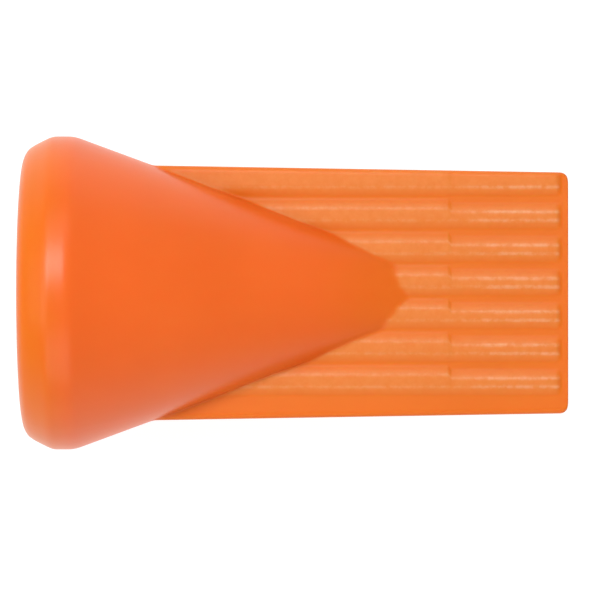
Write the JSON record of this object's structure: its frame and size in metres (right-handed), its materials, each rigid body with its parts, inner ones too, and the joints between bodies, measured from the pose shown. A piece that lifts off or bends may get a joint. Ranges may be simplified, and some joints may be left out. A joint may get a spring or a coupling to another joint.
{
  "type": "flat slot hose nozzle",
  "caption": "Orange plastic flat slot nozzle: a round snap-fit ball socket tapers into a flat ribbed duct that spreads air or coolant into a thin sheet.",
  "frame": {"origin": "centre of the ball seat, on the axis of the socket", "axes": "+X along the flow, from the socket to the slot; +Y across the width of the slot; +Z square to the flat ribbed face"},
  "size_m": [0.0547, 0.0315, 0.0314],
  "materials": {
    "orange_acetal": "satin"
  },
  "bodies": {
    "root": {"nozzle_body": "orange_acetal"}
  },
  "joints": []
}
